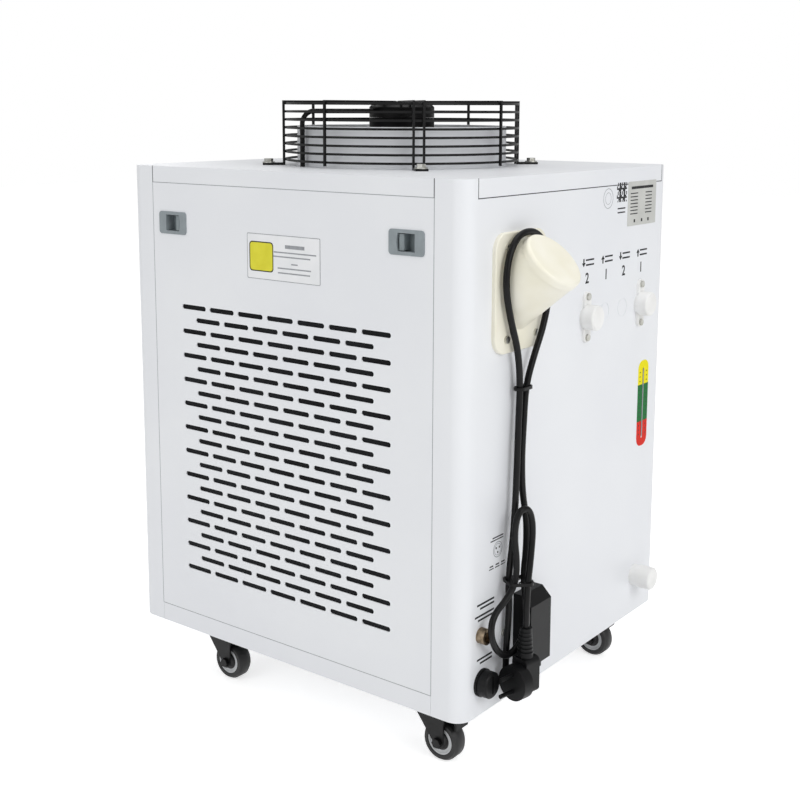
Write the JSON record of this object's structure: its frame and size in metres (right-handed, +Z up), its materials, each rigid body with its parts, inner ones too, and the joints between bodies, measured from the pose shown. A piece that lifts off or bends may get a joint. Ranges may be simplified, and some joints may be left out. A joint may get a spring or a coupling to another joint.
{
  "type": "recirculating chiller",
  "caption": "Recirculating chiller: white sheet-metal cabinet on swivel casters with a wire-guarded roof fan, slotted air inlet, slanted water filler, capped ports and a bundled mains cord.",
  "frame": {"origin": "middle of the footprint, on the floor under the wheels", "axes": "+Y towards the rear with the water ports and the filler, +X towards the side with the slotted air inlet, +Z up"},
  "size_m": [0.4724, 0.5985, 0.7498],
  "materials": {
    "white_powder_coat": "satin",
    "zinc_plated_steel": "satin",
    "black_painted_steel": "satin",
    "black_fan_plastic": "matte",
    "caster_rubber": "matte",
    "ivory_plastic": "satin",
    "white_plastic": "satin",
    "grey_latch_plastic": "satin",
    "filter_gauze": "matte",
    "brass": "satin",
    "black_plastic": "satin",
    "key_plastic": "satin",
    "cord_rubber": "satin",
    "clear_tube": "gloss",
    "copper_pipe": "satin",
    "aluminium_fins": "satin",
    "stainless_steel": "satin",
    "galvanised_sheet": "satin",
    "pump_paint": "satin",
    "hose_rubber": "matte"
  },
  "bodies": {
    "cabinet": {"alarm_connector": "brass", "base_pan": "white_powder_coat", "caster_plates": "black_painted_steel", "compressor": "black_painted_steel", "compressor_mounts": "caster_rubber", "condenser": "aluminium_fins", "controller": "black_plastic", "cord_ties": "black_plastic", "drain_port": "white_plastic", "electrical_box": "galvanised_sheet", "evaporator": "stainless_steel", "fan_cable": "cord_rubber", "fan_guard": "black_painted_steel", "fan_motor": "black_painted_steel", "fan_shroud": "white_powder_coat", "filler_neck": "ivory_plastic", "front_panel": "white_powder_coat", "fuse_holder": "black_plastic", "hex_bolts": "zinc_plated_steel", "level_gauge": "clear_tube", "lid": "white_powder_coat", "pan_screws": "zinc_plated_steel", "plain_panel": "white_powder_coat", "plug": "black_plastic", "port_bodies": "white_plastic", "power_cord": "cord_rubber", "power_hood": "black_plastic", "pump": "pump_paint", "rear_panel": "white_powder_coat", "refrigerant_pipes": "copper_pipe", "switch_frame": "black_plastic", "tank_stand": "galvanised_sheet", "water_hoses": "hose_rubber", "water_tank": "stainless_steel"},
    "impeller": {"impeller": "black_fan_plastic"},
    "front_left_fork": {"front_left_fork": "black_painted_steel"},
    "front_left_wheel": {"front_left_wheel": "caster_rubber"},
    "front_right_fork": {"front_right_fork": "black_painted_steel"},
    "front_right_wheel": {"front_right_wheel": "caster_rubber"},
    "rear_left_fork": {"rear_left_fork": "black_painted_steel"},
    "rear_left_wheel": {"rear_left_wheel": "caster_rubber"},
    "rear_left_pedal": {"rear_left_pedal": "black_fan_plastic"},
    "rear_right_fork": {"rear_right_fork": "black_painted_steel"},
    "rear_right_wheel": {"rear_right_wheel": "caster_rubber"},
    "rear_right_pedal": {"rear_right_pedal": "black_fan_plastic"},
    "air_inlet_panel": {"grille_panel": "white_powder_coat", "dust_filter": "filter_gauze", "latch_bezels": "grey_latch_plastic"},
    "front_latch_slide": {"front_latch_slide": "grey_latch_plastic"},
    "rear_latch_slide": {"rear_latch_slide": "grey_latch_plastic"},
    "filler_cap": {"filler_cap": "ivory_plastic"},
    "port_cap_left": {"port_cap_left": "white_plastic"},
    "port_cap_right": {"port_cap_right": "white_plastic"},
    "drain_cap": {"drain_cap": "white_plastic"},
    "fuse_cap": {"fuse_cap": "black_plastic"},
    "controller_key_1": {"controller_key_1": "key_plastic"},
    "controller_key_2": {"controller_key_2": "key_plastic"},
    "controller_key_3": {"controller_key_3": "key_plastic"},
    "controller_key_4": {"controller_key_4": "key_plastic"},
    "switch_rocker": {"switch_rocker": "black_plastic"}
  },
  "joints": [
    {"name": "fan_spin", "type": "hinge", "parent": "cabinet", "child": "impeller", "pos_m": [0, -0.03758, 0.668], "axis": [0, 0, 1], "continuous": true},
    {"name": "front_left_swivel", "type": "hinge", "parent": "cabinet", "child": "front_left_fork", "pos_m": [-0.157, -0.17658, 0.0587], "axis": [0, 0, 1], "continuous": true},
    {"name": "front_left_roll", "type": "hinge", "parent": "front_left_fork", "child": "front_left_wheel", "pos_m": [-0.157, -0.16258, 0.024], "axis": [1, 0, 0], "continuous": true},
    {"name": "front_right_swivel", "type": "hinge", "parent": "cabinet", "child": "front_right_fork", "pos_m": [0.197, -0.17658, 0.0587], "axis": [0, 0, 1], "continuous": true},
    {"name": "front_right_roll", "type": "hinge", "parent": "front_right_fork", "child": "front_right_wheel", "pos_m": [0.197, -0.16258, 0.024], "axis": [1, 0, 0], "continuous": true},
    {"name": "rear_left_swivel", "type": "hinge", "parent": "cabinet", "child": "rear_left_fork", "pos_m": [-0.157, 0.16442, 0.0587], "axis": [0, 0, 1], "continuous": true},
    {"name": "rear_left_roll", "type": "hinge", "parent": "rear_left_fork", "child": "rear_left_wheel", "pos_m": [-0.157, 0.17842, 0.024], "axis": [1, 0, 0], "continuous": true},
    {"name": "rear_left_brake", "type": "hinge", "parent": "rear_left_fork", "child": "rear_left_pedal", "pos_m": [-0.157, 0.18042, 0.0522], "axis": [-1, 0, 0], "range_deg": [0, 6]},
    {"name": "rear_right_swivel", "type": "hinge", "parent": "cabinet", "child": "rear_right_fork", "pos_m": [0.197, 0.16442, 0.0587], "axis": [0, 0, 1], "continuous": true},
    {"name": "rear_right_roll", "type": "hinge", "parent": "rear_right_fork", "child": "rear_right_wheel", "pos_m": [0.197, 0.17842, 0.024], "axis": [1, 0, 0], "continuous": true},
    {"name": "rear_right_brake", "type": "hinge", "parent": "rear_right_fork", "child": "rear_right_pedal", "pos_m": [0.197, 0.18042, 0.0522], "axis": [-1, 0, 0], "range_deg": [0, 6]},
    {"name": "air_inlet_panel_out", "type": "slide", "parent": "cabinet", "child": "air_inlet_panel", "axis": [1, 0, 0], "range_m": [0, 0.12]},
    {"name": "front_latch", "type": "slide", "parent": "air_inlet_panel", "child": "front_latch_slide", "axis": [0, -1, 0], "range_m": [0, 0.01]},
    {"name": "rear_latch", "type": "slide", "parent": "air_inlet_panel", "child": "rear_latch_slide", "axis": [0, 1, 0], "range_m": [0, 0.01]},
    {"name": "filler_cap_off", "type": "slide", "parent": "cabinet", "child": "filler_cap", "axis": [0, 0.7071, 0.7071], "range_m": [0, 0.06]},
    {"name": "port_cap_left_off", "type": "slide", "parent": "cabinet", "child": "port_cap_left", "axis": [0, 1, 0], "range_m": [0, 0.03]},
    {"name": "port_cap_right_off", "type": "slide", "parent": "cabinet", "child": "port_cap_right", "axis": [0, 1, 0], "range_m": [0, 0.03]},
    {"name": "drain_cap_off", "type": "slide", "parent": "cabinet", "child": "drain_cap", "axis": [0, 1, 0], "range_m": [0, 0.035]},
    {"name": "fuse_cap_turn", "type": "hinge", "parent": "cabinet", "child": "fuse_cap", "pos_m": [0.196, 0.22742, 0.106], "axis": [0, 1, 0], "range_deg": [0, 90]},
    {"name": "controller_key_1_press", "type": "slide", "parent": "cabinet", "child": "controller_key_1", "axis": [0, 1, 0], "range_m": [0, 0.0008]},
    {"name": "controller_key_2_press", "type": "slide", "parent": "cabinet", "child": "controller_key_2", "axis": [0, 1, 0], "range_m": [0, 0.0008]},
    {"name": "controller_key_3_press", "type": "slide", "parent": "cabinet", "child": "controller_key_3", "axis": [0, 1, 0], "range_m": [0, 0.0008]},
    {"name": "controller_key_4_press", "type": "slide", "parent": "cabinet", "child": "controller_key_4", "axis": [0, 1, 0], "range_m": [0, 0.0008]},
    {"name": "switch_rock", "type": "hinge", "parent": "cabinet", "child": "switch_rocker", "pos_m": [0.15, -0.29458, 0.588], "axis": [0, 0, 1], "range_deg": [-8, 8]}
  ]
}
